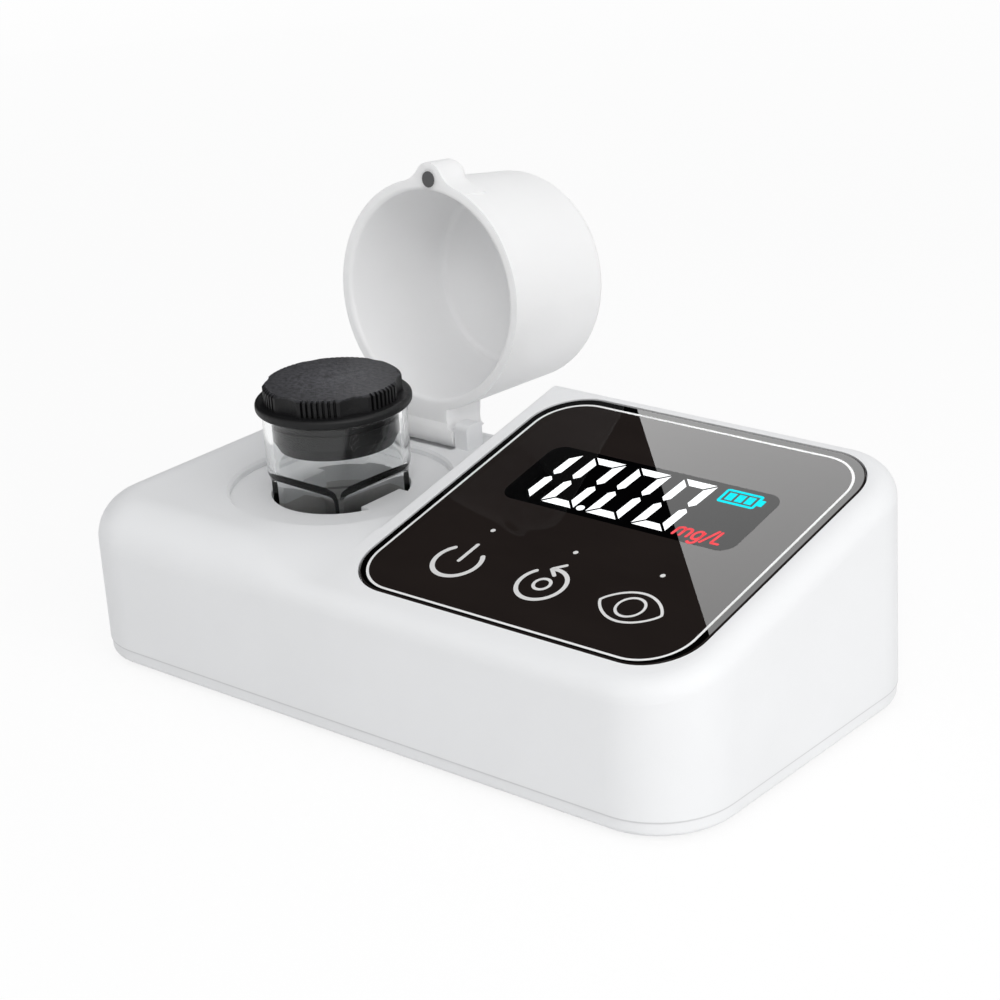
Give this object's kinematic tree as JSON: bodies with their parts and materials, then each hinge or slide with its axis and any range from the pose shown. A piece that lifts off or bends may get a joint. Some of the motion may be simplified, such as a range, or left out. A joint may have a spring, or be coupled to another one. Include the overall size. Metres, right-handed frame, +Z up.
{
  "type": "water analyzer",
  "caption": "Portable water quality analyzer: white housing with a sloped black touch panel, a hinged light-shield cup standing open and a stoppered glass vial in its sample well.",
  "frame": {"origin": "middle of the length and depth of the whole part, open lid included, on the plane that the feet stand on", "axes": "+X to the right along the long front face, +Y to the rear, +Z up"},
  "size_m": [0.15, 0.0982, 0.0903],
  "materials": {
    "white_plastic": "satin",
    "black_plastic": "matt",
    "steel": "satin",
    "rubber": "matt",
    "cell_wrap": "gloss",
    "nickel": "satin",
    "board": "satin",
    "chip": "matt",
    "panel_glass": "gloss",
    "foam": "matt",
    "display": "gloss",
    "clear_glass": "clear",
    "lamp": "clear",
    "metal_can": "satin",
    "magnet": "satin",
    "stopper": "satin"
  },
  "bodies": {
    "housing": {"upper_housing": "white_plastic", "base_cover": "white_plastic", "battery_door": "white_plastic", "battery_door_screw": "steel", "housing_screws": "steel", "rubber_feet": "rubber", "battery_cells": "cell_wrap", "battery_contacts": "nickel", "main_board": "board", "board_components": "chip", "board_screws": "steel", "front_glass": "panel_glass", "panel_gasket": "foam", "touch_board": "board", "display_module": "display", "sample_well": "black_plastic", "well_pad": "rubber", "well_screws": "steel", "well_windows": "clear_glass", "light_source": "lamp", "light_board": "board", "photodetector": "metal_can", "detector_board": "board", "deck_magnet": "magnet", "hinge_pin": "steel"},
    "lid": {"lid_cup": "white_plastic", "lid_magnet": "magnet"},
    "vial": {"vial": "clear_glass"},
    "stopper": {"vial_cap": "stopper"}
  },
  "joints": [
    {"name": "lid_hinge", "type": "hinge", "parent": "housing", "child": "lid", "pos_m": [-0.0332, 0.015, 0.0357], "axis": [1, 0, 0], "range_deg": [0, 96.5]},
    {"name": "vial_lift", "type": "slide", "parent": "housing", "child": "vial", "axis": [0, 0, 1], "range_m": [0, 0.004]},
    {"name": "stopper_turn", "type": "hinge", "parent": "vial", "child": "stopper", "pos_m": [-0.0332, -0.0129, 0.05], "axis": [0, 0, 1], "continuous": true}
  ]
}
